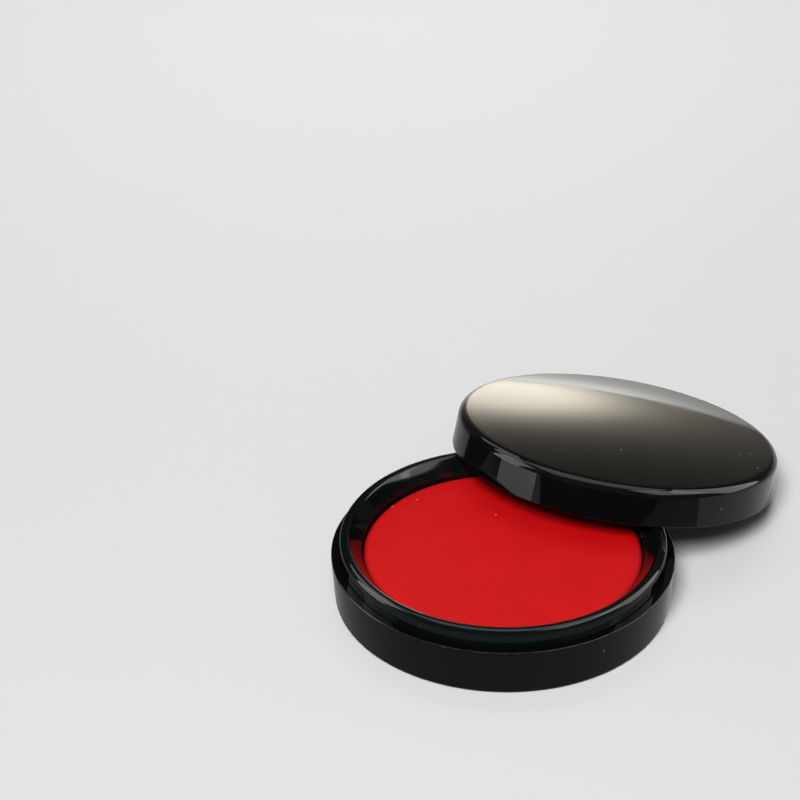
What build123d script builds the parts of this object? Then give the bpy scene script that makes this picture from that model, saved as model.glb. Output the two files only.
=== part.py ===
import os
from math import acos, atan2, cos, degrees, hypot, radians, sin, sqrt

from build123d import *

# A round seal paste box with its lid off, leaning on the base.
# Sizes are in millimetres. +Z is up and the origin is the middle of the base's underside.

# Ink pad: a backing disc and a sponge inside a cloth cover. Everything round it follows its diameter
pad_diameter = 60.0
pad_gap = 0.2                   # between the pad's side and the tray's well
pad_rise = 0.15                 # ledge up to the pad's shoulder
pad_crown = 0.3                 # how much the middle stands over the shoulder
pad_edge_round = 0.7
cloth_thickness = 0.45
backing_thickness = 1.0

# Inner tray: a dish whose rolled lip stands above the ledge
lip_width = 4.7                 # from the well out to the lip's skirt
lip_height = 4.0                # ledge to crest
lip_round = 1.3
slope_edge_drop = 3.4           # crest down to where the lip's inner slope ends
skirt_depth = 5.0               # how far the lip's outer skirt reaches below the ledge
tray_wall = 1.3
tray_floor = 1.2
tray_gap = 0.05                 # between the tray's skirt and the base's bore

# Base: its wall leans in a little towards the table
base_height = 10.6              # table to ledge
base_wall = 1.8                 # level thickness, outside to bore
base_wall_lean = 0.75           # how far the wall comes in from the ledge down to the table
base_floor = 1.6
foot_round = 0.5
ledge_round = 0.25
corner_round = 0.8              # inside corner of the base's floor

# Lid: a leaning wall, a rounded shoulder and a low dome
lid_fit = 0.15                  # between the lid's bore and the tray's lip, all round
lid_wall_height = 8.3           # rim to where the wall's line meets the dome
lid_wall_lean = 0.48            # how far the wall comes in over that height
lid_top_thickness = 1.5
dome_rise = 2.5
shoulder_round = 1.5
ceiling_round = 1.0
rim_round = 0.2

# Where the lid lies: its far edge on the table, its rim across the tray's lip
lid_reach = 28.0                # how far in over the base the lid would reach if it lay level
lid_bearing = 54.5              # degrees round from +X to the back
rest_gap = 0.1                  # left at the table and at the lip
lean_search = (2, 40)           # degrees between which the lean is looked for
lean_halvings = 30
rim_steps = 360                 # places looked at round half of the rim

well_radius = pad_diameter / 2 + pad_gap
lip_radius = well_radius + lip_width
case_radius = lip_radius + tray_gap + base_wall
foot_radius = case_radius - base_wall_lean
crest_height = base_height + lip_height
tray_floor_top = base_floor + tray_floor
lid_bore_radius = lip_radius + lid_fit
lid_offset = 2 * case_radius - lid_reach


def wall_radius(height):
    # Outer radius of the base's wall at a height
    return case_radius - base_wall_lean * (base_height - height) / base_height


def bore_radius(height):
    return wall_radius(height) - base_wall


def turned(*outline):
    # A solid turned about Z from an outline in the XZ plane
    return revolve(make_face(Wire(list(outline))), Axis.Z)


def run(*places):
    # Straight stretches through (radius, height) places
    return Polyline(*[(radius, 0, height) for radius, height in places]).edges()


def crown(edge_radius, edge_height, rise):
    # The low arc from an edge up to the axis
    ball_radius = (edge_radius ** 2 + rise ** 2) / (2 * rise)
    half = edge_radius / 2
    half_height = edge_height + rise - ball_radius + sqrt(ball_radius ** 2 - half ** 2)
    return ThreePointArc(
        (edge_radius, 0, edge_height), (half, 0, half_height), (0, 0, edge_height + rise)
    ).edges()


def ring_edges(solid, radius, height):
    # The round edge nearest to a radius and a height
    rings = solid.edges().filter_by(GeomType.CIRCLE)
    return rings.sort_by(lambda ring: hypot(ring.radius - radius, ring.arc_center.Z - height))[:1]


def make_base_shell():
    shell = turned(*run(
        (0, 0),
        (foot_radius, 0),
        (case_radius, base_height),
        (bore_radius(base_height), base_height),
        (bore_radius(base_floor), base_floor),
        (0, base_floor),
        (0, 0),
    ))
    shell = fillet(ring_edges(shell, bore_radius(base_floor), base_floor), corner_round)
    shell = fillet(ring_edges(shell, foot_radius, 0), foot_round)
    return fillet(ring_edges(shell, case_radius, base_height), ledge_round)


def make_inner_tray():
    # The lip is an upturned U: skirt outside, slope inside, hollow below
    crest_radius = lip_radius - lip_round
    round_height = crest_height - lip_round
    slope_foot = (well_radius, crest_height - slope_edge_drop)
    # The slope leaves the lip's round where a line from its foot touches it
    across = well_radius - crest_radius
    down = slope_foot[1] - round_height
    touch = atan2(down, across) - acos(lip_round / hypot(across, down))
    slope_head = (crest_radius + lip_round * cos(touch), round_height + lip_round * sin(touch))
    cup_radius = well_radius + tray_wall
    skirt_end = base_height - skirt_depth
    skirt_radius = bore_radius(skirt_end) - tray_gap
    below = run(
        (0, tray_floor_top),
        (0, base_floor),
        (cup_radius, base_floor),
        (cup_radius, slope_foot[1]),
        (lip_radius - tray_wall, round_height),
        (skirt_radius - tray_wall, skirt_end),
        (skirt_radius, skirt_end),
        (lip_radius, base_height),
        (lip_radius, round_height),
    )
    lip = ThreePointArc(
        (lip_radius, 0, round_height),
        (crest_radius, 0, crest_height),
        (slope_head[0], 0, slope_head[1]),
    ).edges()
    inside = run(slope_head, slope_foot, (well_radius, tray_floor_top), (0, tray_floor_top))
    return turned(*below, *lip, *inside)


def pad_block(radius, top, edge_round, bottom):
    # A disc with a low crown and a rounded shoulder
    block = turned(
        *run((0, top + pad_crown), (0, bottom), (radius, bottom), (radius, top)),
        *crown(radius, top, pad_crown),
    )
    return fillet(ring_edges(block, radius, top), edge_round)


def make_pad():
    pad_top = base_height + pad_rise
    core_radius = pad_diameter / 2 - cloth_thickness
    core_top = pad_top - cloth_thickness
    core_bottom = tray_floor_top + backing_thickness
    core_round = pad_edge_round - cloth_thickness
    core = pad_block(core_radius, core_top, core_round, core_bottom)
    backing = turned(*run(
        (0, tray_floor_top), (core_radius, tray_floor_top), (core_radius, core_bottom), (0, core_bottom),
        (0, tray_floor_top),
    ))
    cover = pad_block(pad_diameter / 2, pad_top, pad_edge_round, tray_floor_top)
    return backing, core, cover - core - backing


def make_lid_shell():
    # Modelled rim down on z = 0, then moved to where it lies
    wall_top_radius = case_radius - lid_wall_lean
    ceiling = lid_wall_height - lid_top_thickness
    shell = turned(
        *run((0, ceiling + dome_rise), (0, lid_wall_height + dome_rise)),
        *crown(wall_top_radius, lid_wall_height, dome_rise),
        *run(
            (wall_top_radius, lid_wall_height),
            (case_radius, 0),
            (lid_bore_radius, 0),
            (lid_bore_radius, ceiling),
        ),
        *crown(lid_bore_radius, ceiling, dome_rise),
    )
    shell = fillet(ring_edges(shell, wall_top_radius, lid_wall_height), shoulder_round)
    shell = fillet(ring_edges(shell, lid_bore_radius, ceiling), ceiling_round)
    shell = fillet(ring_edges(shell, case_radius, 0), rim_round)
    return fillet(ring_edges(shell, lid_bore_radius, 0), rim_round)


def lip_clearance(lean):
    # Least distance from the leaning rim's underside to the rolled lip and what is below it
    crest_radius = lip_radius - lip_round
    middle = rest_gap + case_radius * sin(lean)
    least = case_radius
    for radius in (lid_bore_radius, (lid_bore_radius + case_radius) / 2, case_radius):
        for step in range(rim_steps):
            turn = radians(step * 180 / rim_steps)
            along = lid_offset + radius * cos(turn) * cos(lean)
            aside = radius * sin(turn)
            height = middle - radius * cos(turn) * sin(lean)
            over = max(height - crest_height + lip_round, 0)
            least = min(least, hypot(hypot(along, aside) - crest_radius, over) - lip_round)
    return least


def find_lean():
    # The lean at which the rim just clears the lip, by halving
    low, high = radians(lean_search[0]), radians(lean_search[1])
    for halving in range(lean_halvings):
        middle = (low + high) / 2
        if lip_clearance(middle) < rest_gap:
            low = middle
        else:
            high = middle
    return degrees(high)


def lay_down(lid):
    lean = find_lean()
    middle_height = rest_gap + case_radius * sin(radians(lean))
    seat = Rot(Z=lid_bearing) * Pos(lid_offset, 0, middle_height) * Rot(Y=lean)
    print(f"lid leans {lean:.2f} degrees, middle of its rim {middle_height:.2f} mm up")
    return seat * lid


pad_backing, pad_core, pad_cloth = make_pad()
pieces = {
    "base_shell": make_base_shell(),
    "inner_tray": make_inner_tray(),
    "pad_backing": pad_backing,
    "pad_core": pad_core,
    "pad_cloth": pad_cloth,
    "lid_shell": lay_down(make_lid_shell()),
}
os.makedirs("parts", exist_ok=True)
for node, solid in pieces.items():
    export_step(solid, f"parts/{node}.step")
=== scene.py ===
from math import acos, asin, atan2, cos, hypot, pi, radians, sin, tan

import bmesh
import bpy
from mathutils import Matrix, Vector


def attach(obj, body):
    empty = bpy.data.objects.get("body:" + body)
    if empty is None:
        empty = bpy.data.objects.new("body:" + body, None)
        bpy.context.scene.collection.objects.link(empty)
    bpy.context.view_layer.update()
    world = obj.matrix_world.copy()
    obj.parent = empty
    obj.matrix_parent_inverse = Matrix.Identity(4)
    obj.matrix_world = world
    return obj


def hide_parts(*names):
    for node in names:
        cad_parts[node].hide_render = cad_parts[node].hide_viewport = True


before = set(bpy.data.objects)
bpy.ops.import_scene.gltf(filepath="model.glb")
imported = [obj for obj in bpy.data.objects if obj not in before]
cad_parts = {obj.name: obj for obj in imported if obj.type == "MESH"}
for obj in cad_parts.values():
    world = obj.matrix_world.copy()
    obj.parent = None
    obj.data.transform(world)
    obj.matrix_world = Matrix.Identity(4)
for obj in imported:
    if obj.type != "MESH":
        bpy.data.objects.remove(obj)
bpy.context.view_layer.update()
scene = bpy.context.scene
mm = 0.001


# Lathe: a piece is drawn as a line in the XZ plane and spun about Z

lathe = {
    "steps": 180,           # round the axis
    "arcSteps": 12,         # in a small round
    "lipSteps": 36,         # over the tray's lip
    "domeSteps": 12,        # each longer than the small round that cuts into the first of them
    "sharpTurn": 30,        # degrees at which an edge is shaded sharp
    "mergeWithin": 0.001 * mm,
}


def startLine(radius, height):
    bm = bmesh.new()
    bm.verts.layers.float.new("edgeWear")       # how rubbed a place is, read by the materials
    return bm, bm.verts.new((radius, 0, height))


def lineTo(bm, last, radius, height):
    vert = bm.verts.new((radius, 0, height))
    bm.edges.new((last, vert))
    return vert


def arcTo(bm, last, centre, turn, steps):
    # turn is in radians, from +Z towards +X
    swept = bmesh.ops.spin(
        bm, geom=[last], axis=(0, 1, 0), cent=(centre[0], 0, centre[1]), angle=turn, steps=steps
    )
    return swept["geom_last"][0]


def roundCorner(bm, vert, size, wear=0):
    # The bevel's offset is measured along the two lines, so it follows from the turn between them
    arms = [edge.other_vert(vert).co - vert.co for edge in vert.link_edges]
    halfAngle = arms[0].angle(arms[1]) / 2
    made = bmesh.ops.bevel(
        bm, geom=[vert], offset=size / tan(halfAngle), segments=lathe["arcSteps"], profile=0.5,
        affect="VERTICES", material=-1, clamp_overlap=False,
    )
    worn = bm.verts.layers.float["edgeWear"]
    for vert in made["verts"]:
        if all(edge.other_vert(vert) in made["verts"] for edge in vert.link_edges):
            vert[worn] = wear       # the round's two ends stay unworn


def spinRound(bm):
    bmesh.ops.spin(
        bm, geom=bm.verts[:] + bm.edges[:], axis=(0, 0, 1), cent=(0, 0, 0),
        angle=2 * pi, steps=lathe["steps"], use_merge=True,
    )
    bmesh.ops.remove_doubles(bm, verts=bm.verts[:], dist=lathe["mergeWithin"])
    bmesh.ops.recalc_face_normals(bm, faces=bm.faces[:])


def finishPiece(bm, name, material):
    for face in bm.faces:
        face.smooth = True
    for edge in bm.edges:
        if len(edge.link_faces) == 2 and edge.calc_face_angle() > radians(lathe["sharpTurn"]):
            edge.smooth = False
    mesh = bpy.data.meshes.new(name)
    bm.to_mesh(mesh)
    bm.free()
    piece = bpy.data.objects.new(name, mesh)
    scene.collection.objects.link(piece)
    mesh.materials.append(material)
    return piece


def evenShading(piece):
    # Wide faces keep their own direction, so reflections bend only in the rounds
    even = piece.modifiers.new("evenShading", "WEIGHTED_NORMAL")
    even.keep_sharp = True
    return piece


# Materials

def hexColour(code):
    # sRGB hex to linear
    parts = [int(code[place:place + 2], 16) / 255 for place in (1, 3, 5)]
    linear = [part / 12.92 if part <= 0.04045 else ((part + 0.055) / 1.055) ** 2.4 for part in parts]
    return linear + [1]


def perMetre(size):
    # How often a pattern this many millimetres wide comes in a metre
    return 1 / (size * mm)


def newMaterial(name):
    material = bpy.data.materials.new(name)
    material.use_nodes = True
    material.node_tree.nodes.clear()
    return material, material.node_tree


def addNode(tree, kind, feeds=None, **settings):
    # feeds gives an input its value, or the node or socket that feeds it
    node = tree.nodes.new(kind)
    for name, value in settings.items():
        setattr(node, name, value)
    for place, source in (feeds or {}).items():
        inUse = [socket for socket in node.inputs if socket.enabled]
        if isinstance(place, int):
            socket = inUse[place]
        else:
            socket = next(one for one in inUse if one.name == place)
        if isinstance(source, bpy.types.Node):
            source = next(one for one in source.outputs if one.enabled)
        if isinstance(source, bpy.types.NodeSocket):
            tree.links.new(source, socket)
        else:
            socket.default_value = source
    return node


speckCore = 0.7         # share of a speck's radius at which it starts to fade


def scatterSpecks(tree, place, spacing, radius):
    # 1 in a dot round each scattered point, 0 elsewhere
    cells = addNode(tree, "ShaderNodeTexVoronoi", {"Vector": place, "Scale": perMetre(spacing)})
    return addNode(tree, "ShaderNodeMapRange", {
        "Value": cells, "From Min": speckCore * radius / spacing, "From Max": radius / spacing,
        "To Min": 1.0, "To Max": 0.0,
    })


def distanceFromAxis(tree, place):
    flat = addNode(tree, "ShaderNodeVectorMath", {0: place, 1: (1, 1, 0)}, operation="MULTIPLY")
    return addNode(tree, "ShaderNodeVectorMath", {0: flat}, operation="LENGTH")


# Patterns on both polished blacks, in millimetres
# A range is the part of a noise over which its marks fade in
gloss = {
    "smudge": 14, "smudgeRange": (0.45, 0.7),
    "hairline": 0.35, "hairlineLength": 3.2,                # real hairlines are finer, drawn coarser to show
    "hairlineTurn": (0.3, 0.2, 0.9), "hairlineRange": (0.68, 0.76), "hairlineMost": 0.5,
    "ripple": 9, "rippleDepth": 0.004,                      # the mould's faint waviness
    "dustSpacing": 5.2, "dustRadius": 0.15, "dustColour": "#a9a8a2", "dustRoughness": 0.8,
    "wearGrain": 0.9, "wearRange": (0.42, 0.62), "wearColour": "#2b2b2b", "wearMost": 0.5,
}


def glossPatterns(tree, place, finish):
    # Haze, hairlines, dust and rubbed edges, as a colour, a roughness and a bump
    smudges = addNode(tree, "ShaderNodeTexNoise", {
        "Vector": place, "Scale": perMetre(gloss["smudge"]), "Detail": 4,
    })
    smudge = addNode(tree, "ShaderNodeMapRange", {
        "Value": smudges, "From Min": gloss["smudgeRange"][0], "From Max": gloss["smudgeRange"][1],
    })
    fine, long = perMetre(gloss["hairline"]), perMetre(gloss["hairlineLength"])
    drawn = addNode(tree, "ShaderNodeMapping", {
        "Vector": place, "Rotation": gloss["hairlineTurn"], "Scale": (fine, long, fine),
    })
    streaks = addNode(tree, "ShaderNodeTexNoise", {"Vector": drawn, "Scale": 1, "Detail": 1})
    hairline = addNode(tree, "ShaderNodeMapRange", {
        "Value": streaks, "From Min": gloss["hairlineRange"][0], "From Max": gloss["hairlineRange"][1],
        "To Max": gloss["hairlineMost"],
    })
    grain = addNode(tree, "ShaderNodeTexNoise", {
        "Vector": place, "Scale": perMetre(gloss["wearGrain"]), "Detail": 3,
    })
    patchy = addNode(tree, "ShaderNodeMapRange", {
        "Value": grain, "From Min": gloss["wearRange"][0], "From Max": gloss["wearRange"][1],
    })
    wear = addNode(tree, "ShaderNodeAttribute", attribute_name="edgeWear").outputs["Fac"]
    rubbed = addNode(tree, "ShaderNodeMath", {0: wear, 1: patchy}, operation="MULTIPLY")
    dust = scatterSpecks(tree, place, gloss["dustSpacing"], gloss["dustRadius"])
    haze = addNode(tree, "ShaderNodeMath", {0: smudge, 1: hairline}, operation="MAXIMUM")
    haze = addNode(tree, "ShaderNodeMath", {0: haze, 1: rubbed}, operation="MAXIMUM")
    roughness = addNode(tree, "ShaderNodeMapRange", {
        "Value": haze, "To Min": finish["smooth"], "To Max": finish["hazy"],
    })
    dull = addNode(tree, "ShaderNodeMath", {0: dust, 1: gloss["dustRoughness"]}, operation="MULTIPLY")
    roughness = addNode(tree, "ShaderNodeMath", {0: roughness, 1: dull}, operation="MAXIMUM")
    pale = addNode(tree, "ShaderNodeMath", {0: rubbed, 1: gloss["wearMost"]}, operation="MULTIPLY")
    colours = addNode(tree, "ShaderNodeMix", {
        "Factor": pale, "A": hexColour(finish["colour"]), "B": hexColour(gloss["wearColour"]),
    }, data_type="RGBA")
    colours = addNode(tree, "ShaderNodeMix", {
        "Factor": dust, "A": colours, "B": hexColour(gloss["dustColour"]),
    }, data_type="RGBA")
    waves = addNode(tree, "ShaderNodeTexNoise", {
        "Vector": place, "Scale": perMetre(gloss["ripple"]), "Detail": 1,
    })
    ripples = addNode(tree, "ShaderNodeBump", {"Height": waves, "Distance": gloss["rippleDepth"] * mm})
    return colours, roughness, ripples


caseFinish = {"colour": "#080808", "ior": 1.5, "specular": 0.22, "smooth": 0.035, "hazy": 0.085}


def makeCaseBlack():
    # Black ABS from a polished mould: an even deep black and a clear mirror, with dust and faint wipe marks
    material, tree = newMaterial("blackAbsMoulded")
    place = addNode(tree, "ShaderNodeTexCoord").outputs["Object"]
    colours, roughness, ripples = glossPatterns(tree, place, caseFinish)
    shader = addNode(tree, "ShaderNodeBsdfPrincipled", {
        "Base Color": colours, "Roughness": roughness, "Normal": ripples,
        "IOR": caseFinish["ior"], "Specular IOR Level": caseFinish["specular"],
    })
    addNode(tree, "ShaderNodeOutputMaterial", {"Surface": shader})
    return material


trayFinish = {
    "colour": "#080e0f", "ior": 1.5, "specular": 0.24, "smooth": 0.05, "hazy": 0.1,
    # Dried paste that has crept up the inner slope, in millimetres
    "filmInner": 30.2, "filmOuter": 31.2, "filmLowest": 10.8, "filmFade": 0.3,
    "blot": 1.6, "blotRange": (0.4, 0.75), "blotMost": 0.35, "filmColour": "#5a0b14", "filmRoughness": 0.2,
}


def makeTrayBlack():
    # Black polystyrene with a green cast, mirror smooth, with a thin film of dry red paste round the pad
    material, tree = newMaterial("blackGreenStyreneMoulded")
    place = addNode(tree, "ShaderNodeTexCoord").outputs["Object"]
    colours, roughness, ripples = glossPatterns(tree, place, trayFinish)
    height = addNode(tree, "ShaderNodeSeparateXYZ", {"Vector": place}).outputs["Z"]
    nearPad = addNode(tree, "ShaderNodeMapRange", {
        "Value": distanceFromAxis(tree, place), "From Min": trayFinish["filmInner"] * mm,
        "From Max": trayFinish["filmOuter"] * mm, "To Min": 1.0, "To Max": 0.0,
    })
    onSlope = addNode(tree, "ShaderNodeMapRange", {
        "Value": height, "From Min": (trayFinish["filmLowest"] - trayFinish["filmFade"]) * mm,
        "From Max": trayFinish["filmLowest"] * mm,
    })
    clouds = addNode(tree, "ShaderNodeTexNoise", {
        "Vector": place, "Scale": perMetre(trayFinish["blot"]), "Detail": 4,
    })
    blots = addNode(tree, "ShaderNodeMapRange", {
        "Value": clouds, "From Min": trayFinish["blotRange"][0], "From Max": trayFinish["blotRange"][1],
        "To Max": trayFinish["blotMost"],
    })
    film = addNode(tree, "ShaderNodeMath", {0: nearPad, 1: onSlope}, operation="MULTIPLY")
    film = addNode(tree, "ShaderNodeMath", {0: film, 1: blots}, operation="MULTIPLY")
    colours = addNode(tree, "ShaderNodeMix", {
        "Factor": film, "A": colours, "B": hexColour(trayFinish["filmColour"]),
    }, data_type="RGBA")
    dulled = addNode(tree, "ShaderNodeMath", {0: film, 1: trayFinish["filmRoughness"]}, operation="MULTIPLY")
    roughness = addNode(tree, "ShaderNodeMath", {0: roughness, 1: dulled}, operation="MAXIMUM")
    shader = addNode(tree, "ShaderNodeBsdfPrincipled", {
        "Base Color": colours, "Roughness": roughness, "Normal": ripples,
        "IOR": trayFinish["ior"], "Specular IOR Level": trayFinish["specular"],
    })
    addNode(tree, "ShaderNodeOutputMaterial", {"Surface": shader})
    return material


# Cloth full of paste, in millimetres
paste = {
    # edge is a painted shade: the darker red the pad takes on towards its edge, by the gap to the tray
    "colour": "#cc0d10", "deep": "#bd080d", "edge": "#7d070c", "light": "#d0181c",
    "mottle": 9, "mottleRange": (0.38, 0.62), "mottleMost": 0.35,
    "patch": 2.6, "patchRange": (0.4, 0.66), "patchMost": 0.2, "edgeShadeFrom": 28.8, "edgeShadeTo": 29.95,
    "thread": 0.62, "threadDepth": 0.012,       # real threads lie 0.3 apart, drawn twice as coarse to show
    "threadWander": 0.6,
    "grain": 0.5, "grainDepth": 0.01,
    "lintSpacing": 7.5, "lintRadius": 0.2, "lintColour": "#f1d9d6",
    "specular": 0.1, "dry": 0.62, "wet": 0.5,
}


def makePasteCloth():
    # Fine woven cloth soaked with oily vermilion paste: a strong red, satin, the weave barely showing
    material, tree = newMaterial("clothSoakedInRedPaste")
    place = addNode(tree, "ShaderNodeTexCoord").outputs["Object"]
    clouds = addNode(tree, "ShaderNodeTexNoise", {
        "Vector": place, "Scale": perMetre(paste["mottle"]), "Detail": 3,
    })
    mottle = addNode(tree, "ShaderNodeMapRange", {
        "Value": clouds, "From Min": paste["mottleRange"][0], "From Max": paste["mottleRange"][1],
        "To Max": paste["mottleMost"],
    })
    dabs = addNode(tree, "ShaderNodeTexNoise", {
        "Vector": place, "Scale": perMetre(paste["patch"]), "Detail": 3,
    })
    patch = addNode(tree, "ShaderNodeMapRange", {
        "Value": dabs, "From Min": paste["patchRange"][0], "From Max": paste["patchRange"][1],
    })
    faint = addNode(tree, "ShaderNodeMath", {0: patch, 1: paste["patchMost"]}, operation="MULTIPLY")
    colours = addNode(tree, "ShaderNodeMix", {
        "Factor": mottle, "A": hexColour(paste["colour"]), "B": hexColour(paste["deep"]),
    }, data_type="RGBA")
    colours = addNode(tree, "ShaderNodeMix", {
        "Factor": faint, "A": colours, "B": hexColour(paste["light"]),
    }, data_type="RGBA")
    # Painted shade: the red darkens towards the pad's edge, where it dips into the gap by the tray
    edgeShade = addNode(tree, "ShaderNodeMapRange", {
        "Value": distanceFromAxis(tree, place), "From Min": paste["edgeShadeFrom"] * mm,
        "From Max": paste["edgeShadeTo"] * mm,
    })
    colours = addNode(tree, "ShaderNodeMix", {
        "Factor": edgeShade, "A": colours, "B": hexColour(paste["edge"]),
    }, data_type="RGBA")
    lint = scatterSpecks(tree, place, paste["lintSpacing"], paste["lintRadius"])
    colours = addNode(tree, "ShaderNodeMix", {
        "Factor": lint, "A": colours, "B": hexColour(paste["lintColour"]),
    }, data_type="RGBA")
    bands = pi / 10 * perMetre(paste["thread"])         # a wave texture has 10 / pi bands to the unit
    across, along = [
        addNode(
            tree, "ShaderNodeTexWave",
            {"Vector": place, "Scale": bands, "Distortion": paste["threadWander"], "Detail": 1},
            bands_direction=direction,
        ).outputs["Fac"]
        for direction in ("X", "Y")
    ]
    weave = addNode(tree, "ShaderNodeMath", {0: across, 1: along}, operation="MAXIMUM")
    fluff = addNode(tree, "ShaderNodeTexNoise", {
        "Vector": place, "Scale": perMetre(paste["grain"]), "Detail": 3,
    })
    normal = addNode(tree, "ShaderNodeBump", {"Height": fluff, "Distance": paste["grainDepth"] * mm})
    normal = addNode(tree, "ShaderNodeBump", {
        "Height": weave, "Distance": paste["threadDepth"] * mm, "Normal": normal,
    })
    roughness = addNode(tree, "ShaderNodeMapRange", {
        "Value": patch, "To Min": paste["dry"], "To Max": paste["wet"],
    })
    shader = addNode(tree, "ShaderNodeBsdfPrincipled", {
        "Base Color": colours, "Roughness": roughness, "Normal": normal,
        "Specular IOR Level": paste["specular"],
    })
    addNode(tree, "ShaderNodeOutputMaterial", {"Surface": shader})
    return material


# Sponge, in millimetres
foam = {
    "pore": 0.9, "poreRange": (0.15, 0.5), "poreDepth": 0.25, "poreShadeColour": "#43060a",
    "mottle": 5, "mottleRange": (0.4, 0.65), "colour": "#a8151a", "deep": "#8f1015", "roughness": 0.9,
}


def makeSponge():
    # Open polyurethane sponge soaked with paste: pores about a millimetre apart in a dull red, with painted
    # shade in the holes
    material, tree = newMaterial("redSpongeFoam")
    place = addNode(tree, "ShaderNodeTexCoord").outputs["Object"]
    cells = addNode(tree, "ShaderNodeTexVoronoi", {"Vector": place, "Scale": perMetre(foam["pore"])})
    walls = addNode(tree, "ShaderNodeMapRange", {
        "Value": cells, "From Min": foam["poreRange"][0], "From Max": foam["poreRange"][1],
    })
    clouds = addNode(tree, "ShaderNodeTexNoise", {
        "Vector": place, "Scale": perMetre(foam["mottle"]), "Detail": 3,
    })
    mottle = addNode(tree, "ShaderNodeMapRange", {
        "Value": clouds, "From Min": foam["mottleRange"][0], "From Max": foam["mottleRange"][1],
    })
    colours = addNode(tree, "ShaderNodeMix", {
        "Factor": mottle, "A": hexColour(foam["colour"]), "B": hexColour(foam["deep"]),
    }, data_type="RGBA")
    # Painted shade: the pores take a darker colour for the shade inside them
    colours = addNode(tree, "ShaderNodeMix", {
        "Factor": walls, "A": hexColour(foam["poreShadeColour"]), "B": colours,
    }, data_type="RGBA")
    bump = addNode(tree, "ShaderNodeBump", {"Height": walls, "Distance": foam["poreDepth"] * mm})
    shader = addNode(tree, "ShaderNodeBsdfPrincipled", {
        "Base Color": colours, "Normal": bump, "Roughness": foam["roughness"],
    })
    addNode(tree, "ShaderNodeOutputMaterial", {"Surface": shader})
    return material


# Board, in millimetres
board = {
    "fibre": 0.4, "fibreLength": 2.4, "fibreTurn": (0, 0, 0.6), "fibreRange": (0.4, 0.65), "fibreDepth": 0.05,
    "colour": "#b5afa2", "deep": "#978f80", "roughness": 0.88,
    "fleckSpacing": 1.8, "fleckRadius": 0.22, "fleckColour": "#6d6458",
}


def makeBacking():
    # Pressed grey board: pale, matt, with short fibres and flecks
    material, tree = newMaterial("greyBoardBacking")
    place = addNode(tree, "ShaderNodeTexCoord").outputs["Object"]
    fine, long = perMetre(board["fibre"]), perMetre(board["fibreLength"])
    drawn = addNode(tree, "ShaderNodeMapping", {
        "Vector": place, "Rotation": board["fibreTurn"], "Scale": (fine, long, fine),
    })
    fibres = addNode(tree, "ShaderNodeTexNoise", {"Vector": drawn, "Scale": 1, "Detail": 3})
    shade = addNode(tree, "ShaderNodeMapRange", {
        "Value": fibres, "From Min": board["fibreRange"][0], "From Max": board["fibreRange"][1],
    })
    flecks = scatterSpecks(tree, place, board["fleckSpacing"], board["fleckRadius"])
    colours = addNode(tree, "ShaderNodeMix", {
        "Factor": shade, "A": hexColour(board["colour"]), "B": hexColour(board["deep"]),
    }, data_type="RGBA")
    colours = addNode(tree, "ShaderNodeMix", {
        "Factor": flecks, "A": colours, "B": hexColour(board["fleckColour"]),
    }, data_type="RGBA")
    bump = addNode(tree, "ShaderNodeBump", {"Height": fibres, "Distance": board["fibreDepth"] * mm})
    shader = addNode(tree, "ShaderNodeBsdfPrincipled", {
        "Base Color": colours, "Normal": bump, "Roughness": board["roughness"],
    })
    addNode(tree, "ShaderNodeOutputMaterial", {"Surface": shader})
    return material


caseBlack = makeCaseBlack()
trayBlack = makeTrayBlack()
pasteCloth = makePasteCloth()
print("materials made")


# Base

base = {
    "radius": 36.75 * mm, "height": 10.6 * mm, "footRadius": 36.0 * mm, "wall": 1.8 * mm,
    "floor": 1.6 * mm, "footRound": 0.5 * mm, "ledgeRound": 0.25 * mm, "cornerRound": 0.8 * mm,
    "boreEdgeRound": 0.12 * mm, "footWear": 0.8, "ledgeWear": 1,        # wear: how rubbed a round is, to 1
}


def makeBaseShell():
    leanIn = (base["radius"] - base["footRadius"]) * (base["height"] - base["floor"]) / base["height"]
    bm, first = startLine(0, 0)
    foot = lineTo(bm, first, base["footRadius"], 0)
    ledge = lineTo(bm, foot, base["radius"], base["height"])
    boreEdge = lineTo(bm, ledge, base["radius"] - base["wall"], base["height"])
    corner = lineTo(bm, boreEdge, base["radius"] - base["wall"] - leanIn, base["floor"])
    lineTo(bm, corner, 0, base["floor"])
    roundCorner(bm, foot, base["footRound"], base["footWear"])
    roundCorner(bm, ledge, base["ledgeRound"], base["ledgeWear"])
    roundCorner(bm, boreEdge, base["boreEdgeRound"])
    roundCorner(bm, corner, base["cornerRound"])
    spinRound(bm)
    return evenShading(finishPiece(bm, "baseShell", caseBlack))


# Inner tray

tray = {
    "lipRadius": 34.9 * mm, "wellRadius": 30.2 * mm, "crest": 14.6 * mm, "lipRound": 1.3 * mm,
    "slopeDrop": 3.4 * mm, "wall": 1.3 * mm, "floorTop": 2.8 * mm, "floor": 1.2 * mm,
    "skirtEnd": 5.6 * mm, "skirtRadius": 34.546 * mm, "edgeRound": 0.15 * mm,
}


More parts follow.
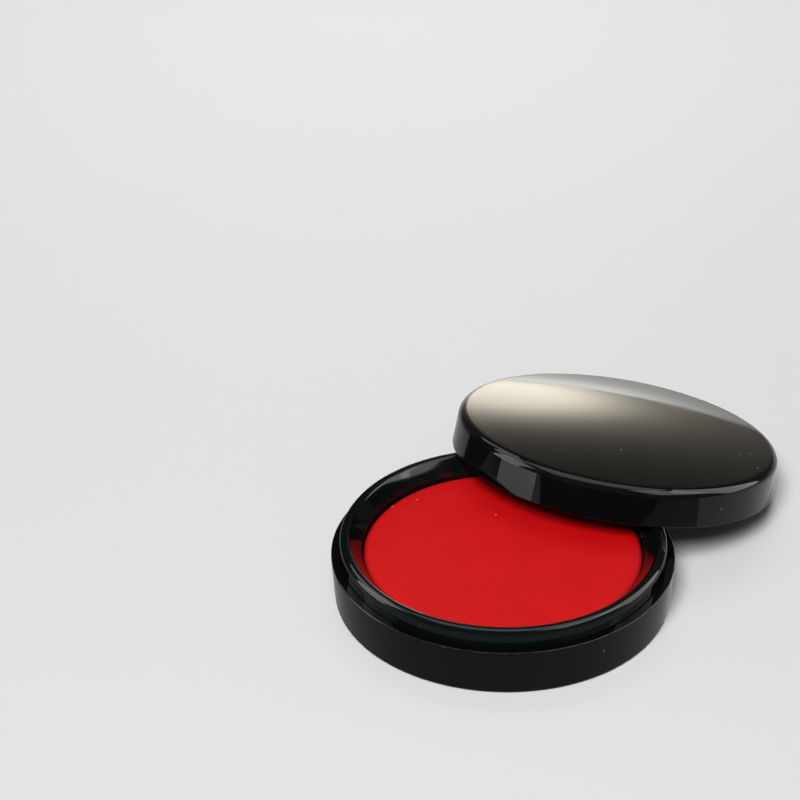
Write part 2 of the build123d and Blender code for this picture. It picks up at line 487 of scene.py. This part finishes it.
def makeInnerTray():
    crestRadius = tray["lipRadius"] - tray["lipRound"]
    roundHeight = tray["crest"] - tray["lipRound"]
    footHeight = tray["crest"] - tray["slopeDrop"]
    across = tray["wellRadius"] - crestRadius
    down = footHeight - roundHeight
    touch = atan2(down, across) - acos(tray["lipRound"] / hypot(across, down)) + 2 * pi
    bm, first = startLine(0, tray["floorTop"] - tray["floor"])
    cupFoot = lineTo(bm, first, tray["wellRadius"] + tray["wall"], tray["floorTop"] - tray["floor"])
    cupTop = lineTo(bm, cupFoot, tray["wellRadius"] + tray["wall"], footHeight)
    lipInside = lineTo(bm, cupTop, tray["lipRadius"] - tray["wall"], roundHeight)
    skirtInside = lineTo(bm, lipInside, tray["skirtRadius"] - tray["wall"], tray["skirtEnd"])
    skirtOutside = lineTo(bm, skirtInside, tray["skirtRadius"], tray["skirtEnd"])
    ledge = lineTo(bm, skirtOutside, tray["lipRadius"], base["height"])
    lip = lineTo(bm, ledge, tray["lipRadius"], roundHeight)
    slope = arcTo(bm, lip, (crestRadius, roundHeight), -touch, lathe["lipSteps"])
    slopeFoot = lineTo(bm, slope, tray["wellRadius"], footHeight)
    wellFoot = lineTo(bm, slopeFoot, tray["wellRadius"], tray["floorTop"])
    lineTo(bm, wellFoot, 0, tray["floorTop"])
    roundCorner(bm, slopeFoot, tray["edgeRound"])
    roundCorner(bm, cupFoot, tray["edgeRound"])
    spinRound(bm)
    return evenShading(finishPiece(bm, "innerTray", trayBlack))


# Pad: cloth drawn over a sponge, swollen a little by a cloth simulation

pad = {
    "radius": 30.0 * mm, "shoulder": 10.68 * mm, "crown": 0.25 * mm, "edgeRound": 0.9 * mm,
    "bottom": 2.8 * mm, "cloth": 0.45 * mm, "fill": 0.8,
    "voxel": 0.64 * mm, "pressure": 4, "frames": 20, "mostSwell": 0.11 * mm,
    "heldBelow": 9.7 * mm,          # up to here the side fits the well and doesn't swell
    "simulationScale": 10,          # the solver suits things the size of a cushion
}


def bakedMesh(piece):
    # The mesh as its modifiers leave it
    return bpy.data.meshes.new_from_object(piece.evaluated_get(bpy.context.evaluated_depsgraph_get()))


def swellCloth(piece):
    # Fills the cloth with pressure for a few frames, and caps how far each point has moved
    held = piece.vertex_groups.new(name="held")
    limit = pad["heldBelow"] * pad["simulationScale"]
    held.add([vert.index for vert in piece.data.vertices if vert.co.z < limit], 1, "REPLACE")
    cloth = piece.modifiers.new("swelling", "CLOTH")
    cloth.settings.use_pressure = True
    cloth.settings.uniform_pressure_force = pad["pressure"]
    cloth.settings.vertex_group_mass = held.name
    cloth.settings.effector_weights.gravity = 0
    cloth.point_cache.frame_end = pad["frames"]
    for frameNumber in range(1, pad["frames"] + 1):
        scene.frame_set(frameNumber)
    swollen = bakedMesh(piece)
    most = pad["mostSwell"] * pad["simulationScale"]
    for vert, moved in zip(piece.data.vertices, swollen.vertices):
        move = moved.co - vert.co
        vert.co += move * most / (most + move.length)
    piece.modifiers.remove(cloth)
    piece.vertex_groups.remove(held)
    bpy.data.meshes.remove(swollen)
    scene.frame_set(1)


def makePadCloth():
    ballRadius = (pad["radius"] ** 2 + pad["crown"] ** 2) / (2 * pad["crown"])
    bm, first = startLine(0, pad["bottom"])
    hem = lineTo(bm, first, pad["radius"], pad["bottom"])
    shoulder = lineTo(bm, hem, pad["radius"], pad["shoulder"])
    centre = (0, pad["shoulder"] + pad["crown"] - ballRadius)
    arcTo(bm, shoulder, centre, -asin(pad["radius"] / ballRadius), lathe["domeSteps"])
    roundCorner(bm, shoulder, pad["edgeRound"])
    spinRound(bm)
    bmesh.ops.scale(bm, vec=[pad["simulationScale"]] * 3, verts=bm.verts[:])
    piece = finishPiece(bm, "padCloth", pasteCloth)
    remesh = piece.modifiers.new("evenMesh", "REMESH")
    remesh.mode = "VOXEL"
    remesh.voxel_size = pad["voxel"] * pad["simulationScale"]
    remesh.use_smooth_shade = True
    piece.data = bakedMesh(piece)
    piece.modifiers.remove(remesh)
    swellCloth(piece)
    bm = bmesh.new()
    bm.from_mesh(piece.data)
    bmesh.ops.scale(bm, vec=[1 / pad["simulationScale"]] * 3, verts=bm.verts[:])
    lowest = pad["bottom"] + pad["voxel"] / 2
    underside = [face for face in bm.faces if face.calc_center_median().z < lowest]
    bmesh.ops.delete(bm, geom=underside, context="FACES")
    bm.to_mesh(piece.data)
    bm.free()
    smooth = piece.modifiers.new("smooth", "SUBSURF")
    smooth.levels = smooth.render_levels = 1
    thickness = piece.modifiers.new("thickness", "SOLIDIFY")
    thickness.thickness = pad["cloth"]
    thickness.offset = -1
    return piece


# Lid

lid = {
    "radius": 36.75 * mm, "bore": 35.05 * mm, "wallHeight": 8.3 * mm, "wallLean": 0.48 * mm,
    "topThickness": 1.5 * mm, "domeRise": 2.5 * mm, "shoulderRound": 2.1 * mm,
    "ceilingRound": 1.0 * mm, "rimRound": 0.2 * mm, "shoulderWear": 0.25, "rimWear": 1,
    "offset": 45.5 * mm, "bearing": 54.5, "lean": 13.88, "restGap": 0.1 * mm,
}


def makeLidShell():
    wallTop = lid["radius"] - lid["wallLean"]
    ceiling = lid["wallHeight"] - lid["topThickness"]
    outerBall = (wallTop ** 2 + lid["domeRise"] ** 2) / (2 * lid["domeRise"])
    innerBall = (lid["bore"] ** 2 + lid["domeRise"] ** 2) / (2 * lid["domeRise"])
    bm, rimInside = startLine(lid["bore"], 0)
    rimOutside = lineTo(bm, rimInside, lid["radius"], 0)
    shoulder = lineTo(bm, rimOutside, wallTop, lid["wallHeight"])
    domeCentre = (0, lid["wallHeight"] + lid["domeRise"] - outerBall)
    arcTo(bm, shoulder, domeCentre, -asin(wallTop / outerBall), lathe["domeSteps"])
    ceilingEdge = lineTo(bm, rimInside, lid["bore"], ceiling)
    ceilingCentre = (0, ceiling + lid["domeRise"] - innerBall)
    arcTo(bm, ceilingEdge, ceilingCentre, -asin(lid["bore"] / innerBall), lathe["domeSteps"])
    roundCorner(bm, shoulder, lid["shoulderRound"], lid["shoulderWear"])
    roundCorner(bm, ceilingEdge, lid["ceilingRound"])
    roundCorner(bm, rimOutside, lid["rimRound"], lid["rimWear"])
    roundCorner(bm, rimInside, lid["rimRound"])
    spinRound(bm)
    middle = lid["restGap"] + lid["radius"] * sin(radians(lid["lean"]))
    seat = (
        Matrix.Rotation(radians(lid["bearing"]), 4, "Z")
        @ Matrix.Translation((lid["offset"], 0, middle))
        @ Matrix.Rotation(radians(lid["lean"]), 4, "Y")
    )
    bmesh.ops.transform(bm, matrix=seat, verts=bm.verts[:])
    return evenShading(finishPiece(bm, "lidShell", caseBlack))


for makePiece, body, node, slot in (
    (makeBaseShell, "base", "base_shell", "case_black"),
    (makeInnerTray, "base", "inner_tray", "tray_black"),
    (makePadCloth, "base", "pad_cloth", "paste_cloth"),
    (makeLidShell, "lid", "lid_shell", "case_black"),
):
    piece = makePiece()
    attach(piece, body)
    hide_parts(node)
    print(piece.name, "made with", len(piece.data.polygons), "faces")

for node, material in (("pad_core", makeSponge()), ("pad_backing", makeBacking())):
    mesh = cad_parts[node].data
    mesh.materials.clear()
    mesh.materials.append(material)
    print(node, "given its material")


# Camera: a long lens, looking down on the box from in front

shot = {
    "focal": 2503.0, "imageSize": 800, "sensor": 36,      # focal length in pixels of the picture
    "lookDown": 31.19, "roll": -0.32,                     # degrees
    "originAt": (501.9, 590.3), "originDepth": 0.541,     # where the origin shows, and how far in
    "nearest": 0.01, "farthest": 20,
}


def makeCamera():
    down, roll = radians(shot["lookDown"]), radians(shot["roll"])
    ahead = Vector((0, cos(down), -sin(down)))
    level = Vector((1, 0, 0))
    upright = Vector((0, sin(down), cos(down)))
    across = level * cos(roll) + upright * sin(roll)
    up = upright * cos(roll) - level * sin(roll)
    half = shot["imageSize"] / 2
    depth = shot["originDepth"]
    originAcross = (shot["originAt"][0] - half) / shot["focal"] * depth
    originUp = -(shot["originAt"][1] - half) / shot["focal"] * depth
    place = -(across * originAcross + up * originUp + ahead * depth)
    data = bpy.data.cameras.new("camera")
    data.sensor_width = shot["sensor"]
    data.lens = shot["focal"] / shot["imageSize"] * shot["sensor"]
    data.clip_start = shot["nearest"]
    data.clip_end = shot["farthest"]
    camera = bpy.data.objects.new("camera", data)
    turned = Matrix((across, up, -ahead)).transposed().to_4x4()
    camera.matrix_world = Matrix.Translation(place) @ turned
    scene.collection.objects.link(camera)
    scene.camera = camera


makeCamera()
print("camera placed")


# Studio: a pale floor under soft light, and softboxes that the gloss mirrors

studio = {
    "world": 0.1, "floorColour": "#e6e6e6", "floorRadius": 4.0, "floorSides": 96,
    "aim": (0.012, 0.018, 0.015),       # what the softboxes face
}


def directionTo(azimuth, elevation):
    # azimuth 0 is straight behind the box, 90 to its right
    turn, rise = radians(azimuth), radians(elevation)
    return Vector((sin(turn) * cos(rise), cos(turn) * cos(rise), sin(rise)))


def addLamp(name, place, aim, size, radiance, spread=180, mirrored=True):
    # A mirrored lamp shows in the gloss alone, any other lights the matt surfaces alone
    towards = (Vector(place) - Vector(aim)).normalized()
    data = bpy.data.lights.new(name, "AREA")
    data.shape = "RECTANGLE"
    data.size, data.size_y = size
    half = radians(spread) / 2
    narrowed = 1 - half / tan(half) if spread < 180 else 1      # a narrow beam keeps its brightness ahead
    data.energy = radiance * pi * size[0] * size[1] * narrowed
    data.spread = radians(spread)
    lamp = bpy.data.objects.new(name, data)
    turned = towards.to_track_quat("Z", "Y").to_matrix().to_4x4()
    lamp.matrix_world = Matrix.Translation(place) @ turned
    lamp.visible_camera = False
    lamp.visible_glossy = mirrored
    lamp.visible_diffuse = not mirrored
    scene.collection.objects.link(lamp)


def addSoftbox(name, azimuths, elevations, distance, radiance):
    # Fills the given span of directions, seen from the box
    width = 2 * distance * tan(radians(azimuths[1] - azimuths[0]) / 2)
    height = 2 * distance * tan(radians(elevations[1] - elevations[0]) / 2)
    towards = directionTo(sum(azimuths) / 2, sum(elevations) / 2)
    addLamp(name, Vector(studio["aim"]) + towards * distance, studio["aim"], (width, height), radiance)


# Pools of light that the gloss mirrors: a warm one low behind, and its image in the table.
# The core falls off steeply from the pool's middle and the halo gently, in the pool's half sizes
falloff = {"core": 4, "halo": 2}
pools = {
    "warmGlow": {
        "place": (0.048, 0.636, 0.054), "facing": (-0.035, -0.998, -0.052), "halfSizes": (0.074, 0.074),
        "reach": 7, "strength": 4.7, "halo": 0.36, "haloSize": 3.4, "colour": "#fff6e2",
    },
    "tableGlow": {
        "place": (0.035, 0.45, 0.0005), "facing": (0, 0, 1), "halfSizes": (0.08, 0.25),
        "reach": 4, "strength": 2.8, "halo": 0.26, "haloSize": 3, "colour": "#fbfaf6",
    },
}


def addCard(bm, name, tree, material, strength, colour="#ffffff"):
    # A glowing card that shows in the gloss alone
    light = addNode(tree, "ShaderNodeEmission", {"Color": hexColour(colour), "Strength": strength})
    addNode(tree, "ShaderNodeOutputMaterial", {"Surface": light})
    card = finishPiece(bm, name, material)
    card.visible_camera = False
    card.visible_diffuse = False
    card.visible_shadow = False
    return card


def addPool(name, pool):
    bm = bmesh.new()
    bmesh.ops.create_grid(bm, x_segments=1, y_segments=1, size=pool["reach"])
    material, tree = newMaterial(name)
    place = addNode(tree, "ShaderNodeTexCoord").outputs["Object"]
    away = addNode(tree, "ShaderNodeVectorMath", {0: place}, operation="LENGTH")
    steep = addNode(tree, "ShaderNodeMath", {0: away, 1: falloff["core"]}, operation="POWER")
    steep = addNode(tree, "ShaderNodeMath", {0: steep, 1: 1}, operation="ADD")
    core = addNode(tree, "ShaderNodeMath", {0: pool["strength"], 1: steep}, operation="DIVIDE")
    gentle = addNode(tree, "ShaderNodeMath", {0: away, 1: pool["haloSize"]}, operation="DIVIDE")
    gentle = addNode(tree, "ShaderNodeMath", {0: gentle, 1: falloff["halo"]}, operation="POWER")
    gentle = addNode(tree, "ShaderNodeMath", {0: gentle, 1: 1}, operation="ADD")
    halo = addNode(tree, "ShaderNodeMath", {0: pool["halo"], 1: gentle}, operation="DIVIDE")
    strength = addNode(tree, "ShaderNodeMath", {0: core, 1: halo}, operation="ADD")
    card = addCard(bm, name, tree, material, strength, pool["colour"])
    card.matrix_world = (
        Matrix.Translation(pool["place"])
        @ Vector(pool["facing"]).to_track_quat("Z", "Y").to_matrix().to_4x4()
        @ Matrix.Diagonal((*pool["halfSizes"], 1, 1))
    )


# Cards that the gloss mirrors: the softboxes' images in the table, and near-black cards at the left and in
# front, painted dark reflections that show in the gloss alone.
# gain is the added strength for each metre out
cards = {
    "leftSheen": {
        "corners": (
            (-0.088, 0.0145, 0.001), (-0.9, 0.0145, 0.001), (-0.9, -0.525, 0.001), (-0.16, -0.086, 0.001),
        ),
        "nearStrength": 1.6, "gain": 2.5,
    },
    "rightSheen": {
        "corners": ((0.068, -0.015, 0.001), (0.3, -0.181, 0.001), (0.3, 0.1, 0.001), (0.068, 0.05, 0.001)),
        "nearStrength": 0.82, "gain": 0,
    },
    "leftDarkReflection": {
        "corners": (
            (-0.026, 0.043, 0.001), (-0.13, 0.043, 0.001), (-0.13, 0.043, 0.06), (-0.026, 0.043, 0.06),
        ),
        "nearStrength": 0.03, "gain": 0,
    },
    "frontDarkReflection": {
        "corners": ((-0.12, -0.13, 0.0008), (-4, -2.3, 0.0008), (4, -4, 0.0008), (0.3, -0.13, 0.0008)),
        "nearStrength": 0.03, "gain": 0,
    },
}


def addSheen(name, sheen):
    bm = bmesh.new()
    bm.faces.new([bm.verts.new(corner) for corner in sheen["corners"]])
    material, tree = newMaterial(name)
    place = addNode(tree, "ShaderNodeTexCoord").outputs["Object"]
    away = addNode(tree, "ShaderNodeVectorMath", {0: place}, operation="LENGTH")
    strength = addNode(tree, "ShaderNodeMath", {
        0: away, 1: sheen["gain"], 2: sheen["nearStrength"],
    }, operation="MULTIPLY_ADD")
    addCard(bm, name, tree, material, strength)


def addFloor():
    bm = bmesh.new()
    bmesh.ops.create_circle(
        bm, cap_ends=True, segments=studio["floorSides"], radius=studio["floorRadius"]
    )
    material, tree = newMaterial("paleFloor")
    shader = addNode(tree, "ShaderNodeBsdfPrincipled", {
        "Base Color": hexColour(studio["floorColour"]), "Roughness": 1, "Specular IOR Level": 0,
    })
    addNode(tree, "ShaderNodeOutputMaterial", {"Surface": shader})
    finishPiece(bm, "floor", material)


# Softboxes, in the gloss alone: spans in degrees, distances in metres
softboxes = {
    "leftSoftbox": {"azimuths": (-107, -82), "elevations": (-2, 45), "distance": 0.2, "radiance": 4.4},
    "leftTopSoftbox": {"azimuths": (-78, -40), "elevations": (30, 56), "distance": 0.5, "radiance": 2.6},
    "rightSoftbox": {"azimuths": (62, 100), "elevations": (2, 56), "distance": 0.5, "radiance": 4.2},
    "rightTopSoftbox": {"azimuths": (100, 140), "elevations": (34, 62), "distance": 0.5, "radiance": 3.6},
    "overheadSoftbox": {"azimuths": (-30, 30), "elevations": (70, 110), "distance": 0.5, "radiance": 2.3},
}
# Lamps for the floor and the pad: a key high in front, and a fill for the floor behind
fills = {
    "frontKey": {
        "place": (-0.2, -0.82, 1.02), "aim": (0, 0.03, 0), "size": (0.5, 0.45),
        "radiance": 28.8, "spread": 110,
    },
    "backFill": {
        "place": (-0.02, 0.47, 0.7), "aim": (-0.02, 0.4, 0), "size": (0.5, 0.35),
        "radiance": 7.5, "spread": 64,
    },
}

addFloor()
for name, pool in pools.items():
    addPool(name, pool)
for name, sheen in cards.items():
    addSheen(name, sheen)
for name, softbox in softboxes.items():
    addSoftbox(name, **softbox)
for name, fill in fills.items():
    addLamp(name, **fill, mirrored=False)
print("studio lit by", len(softboxes) + len(fills), "lamps and", len(pools) + len(cards), "cards")

world = bpy.data.worlds.new("world")
scene.world = world
world.use_nodes = True
world.node_tree.nodes.clear()
sky = addNode(world.node_tree, "ShaderNodeBackground", {
    "Color": (1, 1, 1, 1), "Strength": studio["world"],
})
addNode(world.node_tree, "ShaderNodeOutputWorld", {"Surface": sky})

scene.view_settings.view_transform = "Standard"
